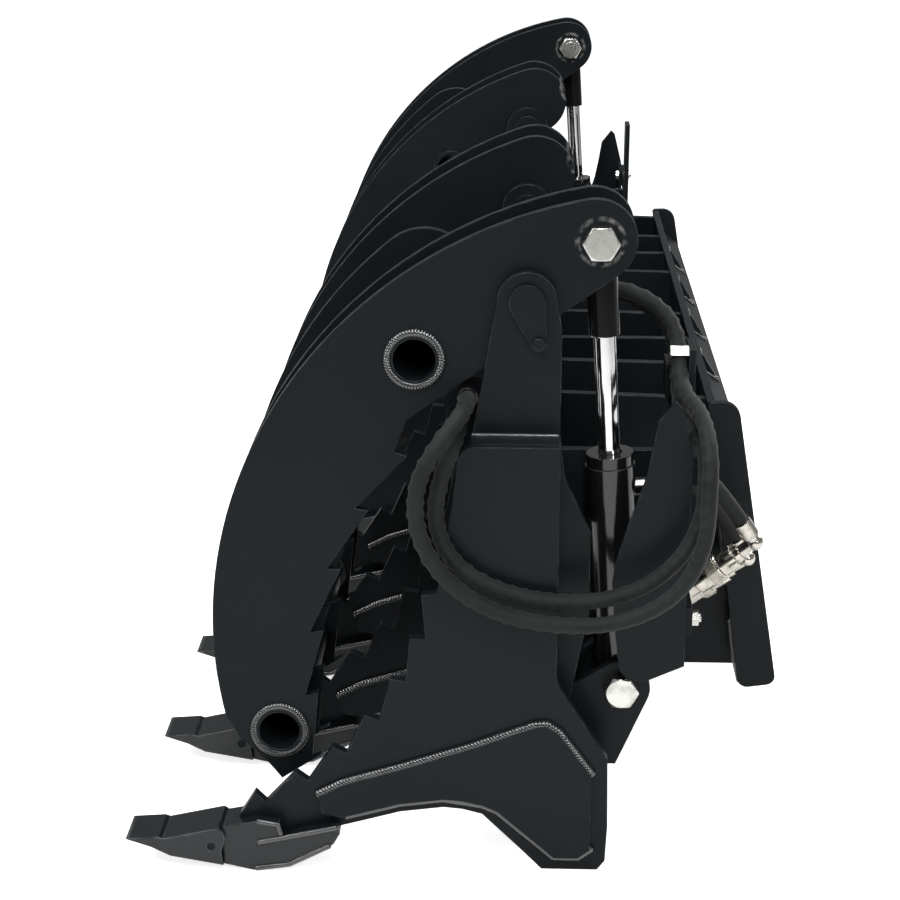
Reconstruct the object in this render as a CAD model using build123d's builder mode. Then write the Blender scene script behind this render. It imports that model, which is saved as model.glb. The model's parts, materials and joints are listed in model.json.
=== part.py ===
"""Root rake grapple for a skid-steer loader.

Millimetres. +X is the tool's right-hand end, +Y points back to the loader, +Z is up. The origin lies on the
floor, midway across the width and midway between the tooth tips and the back of the mount.
The side view is the YZ plane, and nearly every plate is drawn in it and extruded along X.
"""
from build123d import *
from math import acos, atan2, cos, degrees, hypot, pi, radians, sin, tan
import os

os.makedirs("parts", exist_ok=True)

# Rake
width = 1829.0
tine_count = 8
plate = 12.0
throat_centre = (-390.0, 402.0)
throat_radius = 354.0
throat_teeth = 7
throat_first_angle = -66.0
throat_tooth_angle = 9.4
throat_tooth_height = 17.0
nose_y = -272.0
back_y = 95.5
heel_front_y = 82.0
heel_back_y = 156.0
rake_top = 474.0
side_top = 522.0
side_front_y = -14.0
side_front_corner = 16.0
side_back_corner = 5.0
doubler = 8.0
doubler_inset = 14.0
cross_tube = 90.0
cross_tube_wall = 8.0
lower_tube_y = 4.0
lower_tube_z = 110.0
upper_tube_y = -1.0

# Digging teeth
tooth_width = 55.0
tooth_tip_y = -404.0
tooth_back_y = -290.0
tooth_edge_z = 41.0
adapter_width = 44.0
adapter_nose_width = 34.0
tooth_pin_radius = 5.0
tooth_pin_at = (-303.5, 33.0)
fit_gap = 0.3

# Jaw hinge and jaw plates
pivot_y = 57.0
pivot_z = 675.0
post_round = 33.0
post_gap = 30.0
post_foot = 8.0
side_clear = 2.0
arm = 10.0
outer_pair = 80.0
inner_pair = 98.0
middle_arm_x = 574.5
arm_back_centre = (161.0, -403.0)
arm_back_radius = 522.0
arm_tooth_centre = (249.0, -488.5)
arm_tooth_radius = 503.5
arm_tooth_first_angle = 142.0
arm_tooth_angle = 9.35
arm_tooth_count = 6
arm_tooth_height = 15.0
ear_round = (73.0, 65.0)
inner_arm_round = (10.0, 42.0)
middle_arm_round = (-126.0, -48.0)
arm_elbow = (-133.0, -141.0)
pipe_radius = 30.0
pipe_wall = 6.0
pipe_proud = 4.0
upper_pipe_at = (-124.0, -70.0)
lower_pipe_at = (-286.0, -528.0)
hinge_pin_radius = 19.0
hinge_tube_radius = 28.5
running_gap = 0.06
weld_gap = 0.1
flag = 6.0
flag_bolt_at = (13.0, -45.0)
flag_bolt_radius = 4.0
flag_bolt_across = 13.0
flag_bolt_head = 5.0

# Cylinder
ear_at = (79.0, 64.0)
base_y = 172.0
base_z = 208.0
bolt_radius = 12.0
bolt_head_across = 36.0
bolt_head = 15.0
bolt_tip = 4.0
bolt_room = 30.0
hex_crown = 0.48
lug_round = 34.0
barrel_radius = 28.5
barrel_bore = 25.0
rod_radius = 12.5
rod_sleeve_radius = 17.5
barrel_length = 235.0
barrel_start = 30.0
barrel_base = 15.0
barrel_chamfer = 8.0
port_radius = 11.0
port_height = 14.0
port_inset = 30.0
gland = 14.0
gland_depth = 16.0
gland_step = 1.5
gland_chamfer = 2.0
piston = 25.0
piston_gap = 30.0
rod_sleeve_start = 22.0
rod_sleeve_end = 114.0
eye_radius = 22.0
lug_foot = 74.0
lug_foot_height = 60.0
eye_clear = 1.0

# Mount
mount_width = 1180.0
mount_top_y = 286.0
mount_top_z = 472.0
mount_height = 390.0
mount_tilt = 8.0
mount_depth = 50.0
mount_top_depth = 38.0
mount_plate = 10.0
end_plate = 10.0
end_corners = (5.0, 22.0, 12.0, 14.0)
flange_set_back = 4.0
hook_leg = 76.0
mount_low_z = 100.0
hook_drop = 35.0
hook_reach = 28.0
hook_plate = 8.0
gusset_x = (105.0, 315.0)
slot_x = 385.0
slot_length = 70.0
slot_width = 27.0
mount_rib_x = 546.0
rib_drop = 6.0

# Guard
guard_sheet = 5.0
guard_inset = 34.5
guard_flange = 36.0
bracket_y = 242.0
bracket = 8.0
bracket_inwards = 19.5
bracket_outwards = 25.5
bracket_low_z = 232.0
bracket_top_z = 600.0
bracket_tab = 34.0
tab_end_gap = 4.0
guard_bolt_z = (301.0, 484.0)
guard_bolt_radius = 5.0
guard_nut_across = 16.0
guard_bolt_head = 6.0
guard_nut = 8.0
guard_bolt_tip = 11.0
guard_flange_z = (268.0, 496.0)
guard_flange_edge_z = (252.0, 504.0)

# Hoses
hose_radius = 9.5
crimp_radius = 11.5
end_crimp = 24.0
loop_block_inset = (60.5, 22.5)
drop_block_inset = (78.5, 28.5)
drop_block_height = 42.0
feed_block_width = 49.0
feed_block_low_z = 528.0
feed_block_height = 40.0
clamp_pitch = 21.0
clamp_along = 43.0
clamp_width = 12.0
clamp_side = 13.0
elbow_neck = 8.0
elbow_ball = 10.5
elbow_reach = 13.0
elbow_branch = 22.0

half = width / 2
pitch = (width - plate) / (tine_count - 1)
tine_x = [half - plate / 2 - pitch * i for i in range(tine_count)]
outer_post_x = half - plate - post_gap - plate
outer_arm_x = outer_post_x - side_clear
inner_post_x = tine_x[2] - plate / 2 - plate
inner_arm_x = inner_post_x - side_clear
upper_tube_z = rake_top - cross_tube
rib_top = rake_top - rib_drop
cylinder_x = outer_arm_x - outer_pair / 2
eye_width = outer_pair - 2 * arm - 2 * eye_clear
guard_x = half - guard_inset
bracket_post_x = outer_arm_x - outer_pair - side_clear - plate
bracket_inner_x = bracket_post_x - bracket_inwards
bracket_outer_x = bracket_post_x + bracket_outwards
loop_block_x = [outer_post_x - inset for inset in loop_block_inset]
drop_block_x = [bracket_post_x - inset for inset in drop_block_inset]
feed_block_x = (bracket_inner_x - feed_block_width, bracket_inner_x)
tilt = radians(mount_tilt)

pieces = {}


def around(centre, radius, angle):
    """A point on a circle in the side view."""
    return (centre[0] + radius * cos(radians(angle)), centre[1] + radius * sin(radians(angle)))


def from_pivot(offset):
    """A side-view point given from the jaw's hinge."""
    return (pivot_y + offset[0], pivot_z + offset[1])


def on_mount(down, back):
    """A side-view point given down the mount's front face and back from it."""
    return (
        mount_top_y + down * sin(tilt) + back * cos(tilt),
        mount_top_z - down * cos(tilt) + back * sin(tilt),
    )


def mount_face_y(z):
    """Where the mount's front face is at a height."""
    return mount_top_y + (mount_top_z - z) * tan(tilt)


def plate_at(outline, inner_x, thickness, mode=Mode.ADD):
    """Extrude a side-view outline into a plate from inner_x outwards."""
    extrude(outline.sketch.moved(Location((inner_x, 0, 0))), amount=thickness, mode=mode)


def round_bar(y, z, radius, start_x, end_x, mode=Mode.ADD):
    """A round bar or hole along X."""
    with BuildSketch(Plane.YZ.offset(start_x)) as end:
        with Locations((y, z)):
            Circle(radius)
    extrude(end.sketch, amount=end_x - start_x, mode=mode)


def keep(name, piece):
    """Label a finished piece and write it."""
    piece.part.label = name
    export_step(piece.part, f"parts/{name}.step")
    pieces[name] = piece


def keep_pair(name, piece):
    """Write a right-hand piece and its mirror image as two nodes."""
    keep(f"{name}_right", piece)
    with BuildPart() as other:
        mirror(piece.part, about=Plane.YZ)
    keep(f"{name}_left", other)


# Throat edge of a tine, saw-toothed, from the nose up to the last notch
throat_edge = []
for i in range(throat_teeth):
    angle = throat_first_angle + throat_tooth_angle * i
    throat_edge.append(around(throat_centre, throat_radius - throat_tooth_height, angle))
    throat_edge.append(around(throat_centre, throat_radius, angle + 1))

foot_edge = [
    (99, 235), (heel_back_y, 145), (heel_back_y + 2, 57), (heel_back_y, 12), (heel_back_y - 9, 0),
    (heel_front_y, 0), (59, 24), (21, 62), (12, 71), (-11, 77), (-33, 79), (-84, 72), (-122, 61),
    (-154, 52), (-213, 22), (nose_y, 12), (nose_y, 52), (-271, 65),
]

with BuildSketch(Plane.YZ) as side_outline:
    with BuildLine():
        Polyline(
            *throat_edge, (-27, 427), (side_front_y, side_top), (back_y, side_top), (back_y, 250),
            *foot_edge, close=True,
        )
    make_face()
    front_corner, back_corner = side_outline.vertices().group_by(Axis.Y)[-1].sort_by(Axis.X)
    fillet(front_corner, side_front_corner)
    fillet(back_corner, side_back_corner)

with BuildSketch(Plane.YZ) as short_outline:
    with BuildLine():
        Polyline(
            *throat_edge, (-27, 427), (-18, rake_top), (back_y, rake_top), (back_y, 250),
            *foot_edge, close=True,
        )
    make_face()

with BuildSketch(Plane.YZ) as long_outline:
    with BuildLine():
        Polyline(
            *throat_edge, (-27, 427), (-18, rake_top), (mount_face_y(rib_top), rib_top),
            (mount_face_y(mount_low_z), mount_low_z), (heel_back_y + 2, mount_low_z),
            *foot_edge[2:], close=True,
        )
    make_face()

with BuildSketch(Plane.YZ) as tube_holes:
    with Locations(
        (lower_tube_y + cross_tube / 2, lower_tube_z + cross_tube / 2),
        (upper_tube_y + cross_tube / 2, upper_tube_z + cross_tube / 2),
    ):
        Rectangle(cross_tube, cross_tube)

with BuildPart() as side_plate:
    plate_at(side_outline, half - plate, plate)
keep_pair("side_plate", side_plate)

inner_tines = (
    ("outer_tines", 1, short_outline), ("long_tines", 2, long_outline), ("centre_tines", 3, long_outline),
)
for name, i, outline in inner_tines:
    with BuildPart() as tine:
        plate_at(outline, tine_x[i] - plate / 2, plate)
        plate_at(tube_holes, tine_x[i] - plate, 2 * plate, mode=Mode.SUBTRACT)
        mirror(about=Plane.YZ)
    keep(name, tine)

# Heel doublers, on the outer face of every tine
with BuildSketch(Plane.YZ) as doubler_outline:
    with BuildLine():
        Polyline(
            (-178, 94), (-148, 110), (-84, 130), (0, 159), (71, 187), (86, 189), (100, 179), (138, 126),
            (138, 30), (124, 19), (82 + doubler_inset, 19), (30, 78), (12, 86), (-11, 91), (-33, 93),
            (-84, 86), (-122, 75), (-150, 67), (-174, 71), close=True,
        )
    make_face()

with BuildSketch(Plane.YZ) as inner_doubler_outline:
    add(doubler_outline.sketch_local)
    add(tube_holes.sketch_local, mode=Mode.SUBTRACT)

with BuildPart() as heel_doublers:
    plate_at(doubler_outline, half, doubler)
    for x in tine_x[1 : tine_count // 2]:
        plate_at(inner_doubler_outline, x + plate / 2, doubler)
    mirror(about=Plane.YZ)
keep("heel_doublers", heel_doublers)

# Tooth adapters: a forked shank that straddles the tine's nose, with a tapered nose for the tooth
with BuildSketch(Plane.YZ) as adapter_outline:
    with BuildLine():
        Polyline(
            (tooth_back_y, 8), (-254, 0), (-213, 8), (-161, 36), (-153, 50), (-156, 59), (-215, 44),
            (-258, 31), (-222, 47), (-224, 60), (-250, 64), (tooth_back_y, 56), close=True,
        )
    make_face()

with BuildSketch(Plane.YZ) as nose_outline:
    with BuildLine():
        Polyline((tooth_back_y, 14), (tooth_back_y, 50), (-346, 42), (-346, 30), close=True)
    make_face()

tooth_pin_hole = tooth_pin_radius + weld_gap
with BuildPart() as tooth_adapters:
    for x in tine_x[: tine_count // 2]:
        plate_at(adapter_outline, x - adapter_width / 2, adapter_width)
        plate_at(nose_outline, x - adapter_nose_width / 2, adapter_nose_width)
        plate_at(short_outline, x - plate / 2, plate, mode=Mode.SUBTRACT)
        round_bar(*tooth_pin_at, tooth_pin_hole, x - tooth_width, x + tooth_width, mode=Mode.SUBTRACT)
    mirror(about=Plane.YZ)
keep("tooth_adapters", tooth_adapters)

with BuildSketch(Plane.YZ) as tooth_outline:
    with BuildLine():
        Polyline(
            (tooth_tip_y, tooth_edge_z), (-366, 44), (-360, 42), (-295, 57), (tooth_back_y, 54), (-287, 44),
            (-292, 26), (tooth_back_y, 9), (-352, 20), (-374, 31), close=True,
        )
    make_face()

with BuildSketch(Plane.YZ) as pocket_outline:
    offset(nose_outline.sketch_local, amount=fit_gap, kind=Kind.INTERSECTION)

pocket_width = adapter_nose_width + 2 * fit_gap
with BuildPart() as teeth:
    for x in tine_x[: tine_count // 2]:
        plate_at(tooth_outline, x - tooth_width / 2, tooth_width)
        plate_at(pocket_outline, x - pocket_width / 2, pocket_width, mode=Mode.SUBTRACT)
        plate_at(adapter_outline, x - adapter_width / 2, adapter_width, mode=Mode.SUBTRACT)
        round_bar(*tooth_pin_at, tooth_pin_hole, x - tooth_width, x + tooth_width, mode=Mode.SUBTRACT)
    mirror(about=Plane.YZ)
keep("teeth", teeth)

with BuildPart() as tooth_pins:
    for x in tine_x[: tine_count // 2]:
        round_bar(*tooth_pin_at, tooth_pin_radius, x - tooth_width / 2 + 1, x + tooth_width / 2 - 1)
    mirror(about=Plane.YZ)
keep("tooth_pins", tooth_pins)

# Cross tubes run between the side plates
cross_tubes = (
    ("lower_cross_tube", lower_tube_y, lower_tube_z), ("upper_cross_tube", upper_tube_y, upper_tube_z),
)
for name, y, z in cross_tubes:
    with BuildPart() as tube:
        with BuildSketch(Plane.YZ.offset(plate - half)):
            with Locations((y + cross_tube / 2, z + cross_tube / 2)):
                Rectangle(cross_tube, cross_tube)
                offset(amount=-cross_tube_wall, kind=Kind.INTERSECTION, mode=Mode.SUBTRACT)
        extrude(amount=width - 2 * plate)
    keep(name, tube)

# Hinge posts
pivot = (pivot_y, pivot_z)
post_low_z = lower_tube_z - post_foot
post_front = [(pivot_y - post_round, pivot_z), (-2, side_top), (-4, post_low_z)]
post_back = [(back_y, 640), (pivot_y + post_round, pivot_z)]


def post_outline(back_edge):
    """A hinge post: a round head on the pivot, straight front edge and the given back edge."""
    with BuildSketch(Plane.YZ) as outline:
        with BuildLine():
            Polyline(post_front[0], *post_front[1:], *back_edge, *post_back)
            ThreePointArc(post_back[-1], (pivot_y, pivot_z + post_round), post_front[0])
        make_face()
        with Locations(pivot):
            Circle(hinge_pin_radius + weld_gap, mode=Mode.SUBTRACT)
        add(tube_holes.sketch_local, mode=Mode.SUBTRACT)
    return outline


plain_post = post_outline([(100, post_low_z), (100, 200), (back_y, 250), (back_y, side_top)])
bulged_post = post_outline([
    (108, post_low_z), (111, 194), (132, 309), (132, 407), (102, 472), (back_y, side_top),
])
bracket_post = post_outline([
    (108, post_low_z), (112, base_z), (base_y - bolt_room, base_z + bolt_room), (bracket_y, base_z + bolt_room),
    (bracket_y, rake_top), (back_y, rake_top),
])
rib_post = post_outline([
    (mount_face_y(mount_low_z), mount_low_z), (mount_face_y(rib_top), rib_top), (back_y, rib_top),
])

with BuildPart() as outer_posts:
    plate_at(bulged_post, outer_post_x, plate)
    mirror(about=Plane.YZ)
keep("outer_posts", outer_posts)

with BuildPart() as guard_posts:
    plate_at(bracket_post, bracket_post_x, plate)
    mirror(about=Plane.YZ)
keep("guard_posts", guard_posts)

inner_rib_post_x = inner_arm_x - inner_pair - side_clear - plate
with BuildPart() as inner_posts:
    plate_at(plain_post, inner_post_x, plate)
    mirror(about=Plane.YZ)
keep("inner_posts", inner_posts)

with BuildPart() as rib_posts:
    plate_at(rib_post, inner_rib_post_x, plate)
    mirror(about=Plane.YZ)
keep("rib_posts", rib_posts)

# Bent strips that close the tops between the side plates and the outer posts
with BuildPart() as post_caps:
    with BuildSketch(Plane.YZ.offset(outer_post_x + plate)) as strip:
        with BuildLine():
            Polyline(
                (side_front_y - 6, side_top - 40), (side_front_y, side_top), (back_y, side_top),
                (back_y, side_top - doubler), (side_front_y + doubler, side_top - doubler),
                (side_front_y + 2, side_top - 40), close=True,
            )
        make_face()
        bend_outside = strip.vertices().group_by(Axis.Y)[-1].sort_by(Axis.X)[0]
        fillet(bend_outside, side_front_corner)
        inside_z = (side_top - 2 * doubler, side_top - doubler / 2)
        bend_inside = strip.vertices().filter_by_position(Axis.Y, *inside_z).sort_by(Axis.X)[0]
        fillet(bend_inside, doubler)
    extrude(amount=half - outer_post_x - 2 * plate)
    mirror(about=Plane.YZ)
keep("post_caps", post_caps)

# Ribs from the cross tubes back to the mount
with BuildSketch(Plane.YZ) as rib_outline:
    with BuildLine():
        Polyline(
            (-8, rake_top), (back_y, rake_top), (mount_face_y(rib_top), rib_top),
            (mount_face_y(mount_low_z), mount_low_z), (150, mount_low_z), (-4, post_low_z), close=True,
        )
    make_face()
    add(tube_holes.sketch_local, mode=Mode.SUBTRACT)

with BuildPart() as mount_ribs:
    plate_at(rib_outline, mount_rib_x - plate / 2, plate)
    mirror(about=Plane.YZ)
keep("mount_ribs", mount_ribs)

# Quick-attach mount: a tilted front plate with a hook lip above and a slotted pin flange below
mount_plane_half = mount_width / 2 - end_plate


def mount_bar(outline_points, end_gap=0.0):
    """A bar across the mount between the end plates, drawn in the mount's own down and back directions."""
    reach = mount_plane_half - end_gap
    with BuildSketch(Plane.YZ.offset(-reach)) as outline:
        with BuildLine():
            Polyline(*[on_mount(*p) for p in outline_points], close=True)
        make_face()
    extrude(outline.sketch, amount=2 * reach)


flange_top = mount_height - plate
with BuildPart() as mount_front:
    face_low = flange_top - weld_gap
    face_corners = [(hook_leg, 0), (hook_leg, mount_plate), (face_low, mount_plate), (face_low, 0)]
    mount_bar(face_corners, end_gap=weld_gap)
keep("mount_plate", mount_front)

# The hook rail is a leg in line with the front plate and a lip that slopes down and back from it
with BuildPart() as hook_lip:
    mount_bar([
        (0, 0), (0, mount_plate), (hook_drop, mount_plate),
        (hook_drop + hook_reach, mount_plate + hook_reach),
        (hook_drop + hook_reach + hook_plate, mount_plate + hook_reach - 2),
        (hook_drop + 1.4 * hook_plate, mount_plate), (hook_leg, mount_plate), (hook_leg, 0),
    ])
keep("hook_lip", hook_lip)

with BuildPart() as hook_gussets:
    with BuildSketch(Plane.YZ) as gusset:
        with BuildLine():
            Polyline(
                on_mount(4, mount_plate), on_mount(hook_drop, mount_plate),
                on_mount(hook_drop + hook_reach - 4, mount_plate + hook_reach - 4), close=True,
            )
        make_face()
    for x in gusset_x:
        plate_at(gusset, x - hook_plate / 2, hook_plate)
    mirror(about=Plane.YZ)
keep("hook_gussets", hook_gussets)

flange_back = mount_depth - flange_set_back
with BuildPart() as pin_flange:
    mount_bar([(flange_top, 0), (flange_top, flange_back), (mount_height, flange_back), (mount_height, 0)])
    slot_plane = Plane(
        origin=(0, *on_mount(mount_height, (mount_plate + flange_back) / 2)),
        x_dir=(1, 0, 0), z_dir=(0, -sin(tilt), cos(tilt)),
    )
    with BuildSketch(slot_plane):
        with Locations((slot_x, 0), (-slot_x, 0)):
            SlotOverall(slot_length, slot_width)
    extrude(amount=2 * plate, both=True, mode=Mode.SUBTRACT)
keep("pin_flange", pin_flange)

with BuildPart() as end_plates:
    with BuildSketch(Plane.YZ.offset(mount_plane_half)) as end_outline:
        with BuildLine():
            FilletPolyline(
                on_mount(-2, 0), on_mount(2, mount_top_depth), on_mount(mount_height + 4, mount_depth),
                on_mount(mount_height + 4, 0), radius=list(end_corners), close=True,
            )
        make_face()
    extrude(amount=end_plate)
    mirror(about=Plane.YZ)
keep("mount_end_plates", end_plates)

# Lugs that carry the cylinders' base bolts
tube_back = lower_tube_y + cross_tube
with BuildSketch(Plane.YZ) as lug_outline:
    with Locations((base_y, base_z)):
        Circle(lug_round)
    with BuildLine():
        Polyline(
            (tube_back, lower_tube_z), (tube_back + lug_foot, lower_tube_z),
            (tube_back + lug_foot, lower_tube_z + lug_foot_height),
            (tube_back, lower_tube_z + cross_tube - 2), close=True,
        )
    make_face()
    make_hull()
    with Locations((base_y, base_z)):
        Circle(bolt_radius + weld_gap, mode=Mode.SUBTRACT)

with BuildPart() as cylinder_lugs:
    plate_at(lug_outline, outer_arm_x - arm, arm)
    plate_at(lug_outline, outer_arm_x - outer_pair, arm)
    mirror(about=Plane.YZ)
keep("cylinder_lugs", cylinder_lugs)


def turn_crown(y, z, across, crown_x, direction):
    """Turn the corners off the outer end of a hexagon along X, at 30 degrees."""
    inner = across * hex_crown
    outer = across * 0.6
    with BuildSketch(Plane.XZ.offset(-y)) as corner:
        with BuildLine():
            Polyline(
                (crown_x, z + inner), (crown_x, z + outer),
                (crown_x - direction * (outer - inner) * tan(radians(30)), z + outer), close=True,
            )
        make_face()
    revolve(corner.sketch, axis=Axis((crown_x, y, z), (1, 0, 0)), mode=Mode.SUBTRACT)


def hex_head(y, z, across, seat, height, bore=0.0):
    """A hexagon along X from its seat, towards the side of height's sign; a nut has a bore."""
    with BuildSketch(Plane.YZ.offset(seat)) as flats:
        with Locations((y, z)):
            RegularPolygon(across / 2, 6, major_radius=False)
            if bore:
                Circle(bore, mode=Mode.SUBTRACT)
    extrude(flats.sketch, amount=height)
    turn_crown(y, z, across, seat + height, 1 if height > 0 else -1)


bolt_tip_x = outer_arm_x - outer_pair - bolt_head - bolt_tip
with BuildPart() as base_bolts:
    round_bar(base_y, base_z, bolt_radius, bolt_tip_x, outer_arm_x)
    hex_head(base_y, base_z, bolt_head_across, outer_arm_x, bolt_head)
    hex_head(base_y, base_z, bolt_head_across, outer_arm_x - outer_pair, -bolt_head, bolt_radius + weld_gap)
    mirror(about=Plane.YZ)
keep("base_bolts", base_bolts)

# Hinge pins with a teardrop flag that a small bolt holds to the post
with BuildSketch(Plane.YZ) as flag_outline:
    with Locations(pivot):
        Circle(hinge_pin_radius + 1)
    with Locations(from_pivot(flag_bolt_at)):
        Circle(hinge_pin_radius / 2)
    make_hull()
    with Locations(from_pivot(flag_bolt_at)):
        Circle(flag_bolt_radius + weld_gap, mode=Mode.SUBTRACT)

with BuildPart() as hinge_pins:
    round_bar(*pivot, hinge_pin_radius, bracket_post_x - side_clear, outer_post_x + plate)
    plate_at(flag_outline, outer_post_x + plate, flag)
    round_bar(*pivot, hinge_pin_radius, inner_rib_post_x, inner_post_x + plate)
    plate_at(flag_outline, inner_rib_post_x - flag, flag)
    mirror(about=Plane.YZ)
keep("hinge_pins", hinge_pins)

with BuildPart() as flag_bolts:
    for seat, outwards in ((outer_post_x + plate + flag, 1), (inner_rib_post_x - flag, -1)):
        y, z = from_pivot(flag_bolt_at)
        round_bar(y, z, flag_bolt_radius, *sorted((seat, seat - flag * outwards)))
        hex_head(y, z, flag_bolt_across, seat, flag_bolt_head * outwards)
    mirror(about=Plane.YZ)
keep("flag_bolts", flag_bolts)


# Jaws
def tangent_from(centre, radius, point):
    """Where a line from the point touches the underside of a circle."""
    away = hypot(point[0] - centre[0], point[1] - centre[1])
    bearing = degrees(atan2(point[1] - centre[1], point[0] - centre[0]))
    return around(centre, radius, bearing + degrees(acos(radius / away)))


def arm_outline(end_centre, holes):
    """A jaw plate: curved back, round end about end_centre and a saw-toothed inner edge."""
    reach = hypot(end_centre[0] - arm_back_centre[0], end_centre[1] - arm_back_centre[1])
    end_radius = arm_back_radius - reach
    bearing = degrees(atan2(end_centre[1] - arm_back_centre[1], end_centre[0] - arm_back_centre[0]))
    toe_angle = 192.0
    back_start = around(arm_back_centre, arm_back_radius, toe_angle)
    back_middle = around(arm_back_centre, arm_back_radius, (toe_angle + bearing) / 2)
    back_end = around(arm_back_centre, arm_back_radius, bearing)
    under = tangent_from(end_centre, end_radius, arm_elbow)
    under_bearing = degrees(atan2(under[1] - end_centre[1], under[0] - end_centre[0]))
    end_middle = around(end_centre, end_radius, (bearing + under_bearing) / 2)
    teeth_points = []
    for i in range(arm_tooth_count):
        angle = arm_tooth_first_angle + arm_tooth_angle * i
        teeth_points.append(around(arm_tooth_centre, arm_tooth_radius, angle))
        teeth_points.append(around(arm_tooth_centre, arm_tooth_radius - arm_tooth_height, angle - 0.6))
    toe = [(-285, -592), (-301, -571), (-334, -539)]
    with BuildSketch(Plane.YZ) as outline:
        with BuildLine():
            ThreePointArc(from_pivot(back_start), from_pivot(back_middle), from_pivot(back_end))
            ThreePointArc(from_pivot(back_end), from_pivot(end_middle), from_pivot(under))
            Polyline(*[from_pivot(p) for p in [under, arm_elbow, *teeth_points, *toe, back_start]])
        make_face()
        for at, radius in holes:
            with Locations(from_pivot(at)):
                Circle(radius, mode=Mode.SUBTRACT)
    return outline


pipe_holes = [(upper_pipe_at, pipe_radius + weld_gap), (lower_pipe_at, pipe_radius + weld_gap)]
hinge_hole = [((0, 0), hinge_tube_radius + weld_gap)]
ear_hole = [(ear_at, bolt_radius + weld_gap)]
outer_arm_outline = arm_outline(ear_round, pipe_holes + hinge_hole + ear_hole)
inner_arm_outline = arm_outline(inner_arm_round, pipe_holes + hinge_hole)
middle_arm_outline = arm_outline(middle_arm_round, pipe_holes)

with BuildPart() as outer_arms:
    plate_at(outer_arm_outline, outer_arm_x - arm, arm)
    plate_at(outer_arm_outline, outer_arm_x - outer_pair, arm)
keep_pair("outer_arms", outer_arms)

with BuildPart() as middle_arm:
    plate_at(middle_arm_outline, middle_arm_x, arm)
keep_pair("middle_arm", middle_arm)

with BuildPart() as inner_arms:
    plate_at(inner_arm_outline, inner_arm_x - arm, arm)
    plate_at(inner_arm_outline, inner_arm_x - inner_pair, arm)
keep_pair("inner_arms", inner_arms)

pipe_start = inner_arm_x - inner_pair - pipe_proud
pipe_end = outer_arm_x + pipe_proud
with BuildPart() as jaw_pipes:
    for at in (upper_pipe_at, lower_pipe_at):
        round_bar(*from_pivot(at), pipe_radius, pipe_start, pipe_end)
        round_bar(*from_pivot(at), pipe_radius - pipe_wall, pipe_start, pipe_end, mode=Mode.SUBTRACT)
keep_pair("jaw_pipes", jaw_pipes)

bush_proud = side_clear - 0.5
with BuildPart() as hinge_tubes:
    for outer_x, pair in ((outer_arm_x, outer_pair), (inner_arm_x, inner_pair)):
        round_bar(*pivot, hinge_tube_radius, outer_x - pair - bush_proud, outer_x + bush_proud)
        round_bar(
            *pivot, hinge_pin_radius + running_gap, outer_x - pair - bush_proud, outer_x + bush_proud,
            mode=Mode.SUBTRACT,
        )
keep_pair("hinge_tubes", hinge_tubes)

ear = from_pivot(ear_at)
with BuildPart() as ear_bolt:
    round_bar(*ear, bolt_radius, outer_arm_x - arm, outer_arm_x)
    hex_head(*ear, bolt_head_across, outer_arm_x, bolt_head)
    round_bar(*ear, bolt_radius, bolt_tip_x, outer_arm_x - outer_pair + arm)
    hex_head(*ear, bolt_head_across, outer_arm_x - outer_pair, -bolt_head, bolt_radius + weld_gap)
keep_pair("ear_bolt", ear_bolt)

# Cylinders, drawn from the base bolt towards the ear
pin_to_pin = hypot(ear[0] - base_y, ear[1] - base_z)
along = (0, (ear[0] - base_y) / pin_to_pin, (ear[1] - base_z) / pin_to_pin)
base_plane = Plane(origin=(cylinder_x, base_y, base_z), x_dir=(1, 0, 0), z_dir=along)


def cylinder_bar(start, end, radius, mode=Mode.ADD):
    """A round bar or bore along the cylinder, between two distances from the base bolt."""
    with BuildSketch(base_plane.offset(start)) as end_face:
        Circle(radius)
    extrude(end_face.sketch, amount=end - start, mode=mode)


barrel_end = barrel_start + barrel_length
with BuildPart() as barrel:
    cylinder_bar(10, barrel_end, barrel_radius)
    chamfer(barrel.edges().filter_by(GeomType.CIRCLE).sort_by(Axis.Z)[0], barrel_chamfer)
    cylinder_bar(barrel_start + barrel_base, barrel_end, barrel_bore, mode=Mode.SUBTRACT)
    for s in (barrel_start + port_inset, barrel_end - port_inset):
        port_origin = base_plane.offset(s).origin
        port_plane = Plane(origin=port_origin, x_dir=(1, 0, 0), z_dir=(0, along[2], -along[1]))
        with BuildSketch(port_plane.offset(barrel_bore + 1)) as port:
            Circle(port_radius)
        extrude(port.sketch, amount=port_height)
    round_bar(base_y, base_z, eye_radius, cylinder_x - eye_width / 2, cylinder_x + eye_width / 2)
    round_bar(
        base_y, base_z, bolt_radius + running_gap, cylinder_x - eye_width, cylinder_x + eye_width,
        mode=Mode.SUBTRACT,
    )
keep_pair("barrel", barrel)

with BuildPart() as gland_nut:
    cylinder_bar(barrel_end, barrel_end + gland, barrel_radius - gland_step)
    cylinder_bar(barrel_end - gland_depth, barrel_end, barrel_bore - weld_gap)
    cylinder_bar(barrel_end - gland_depth, barrel_end + gland, rod_radius + running_gap, mode=Mode.SUBTRACT)
    chamfer(gland_nut.edges().filter_by(GeomType.CIRCLE).sort_by(Axis.Z)[-1], gland_chamfer)
keep_pair("gland", gland_nut)

piston_top = barrel_end - gland_depth - piston_gap
with BuildPart() as rod:
    cylinder_bar(piston_top - piston, pin_to_pin - rod_sleeve_start, rod_radius)
    cylinder_bar(pin_to_pin - rod_sleeve_end, pin_to_pin - rod_sleeve_start + 4, rod_sleeve_radius)
    round_bar(*ear, eye_radius, cylinder_x - eye_width / 2, cylinder_x + eye_width / 2)
    round_bar(
        *ear, bolt_radius + weld_gap, cylinder_x - eye_width, cylinder_x + eye_width, mode=Mode.SUBTRACT,
    )
keep_pair("rod", rod)

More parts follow.
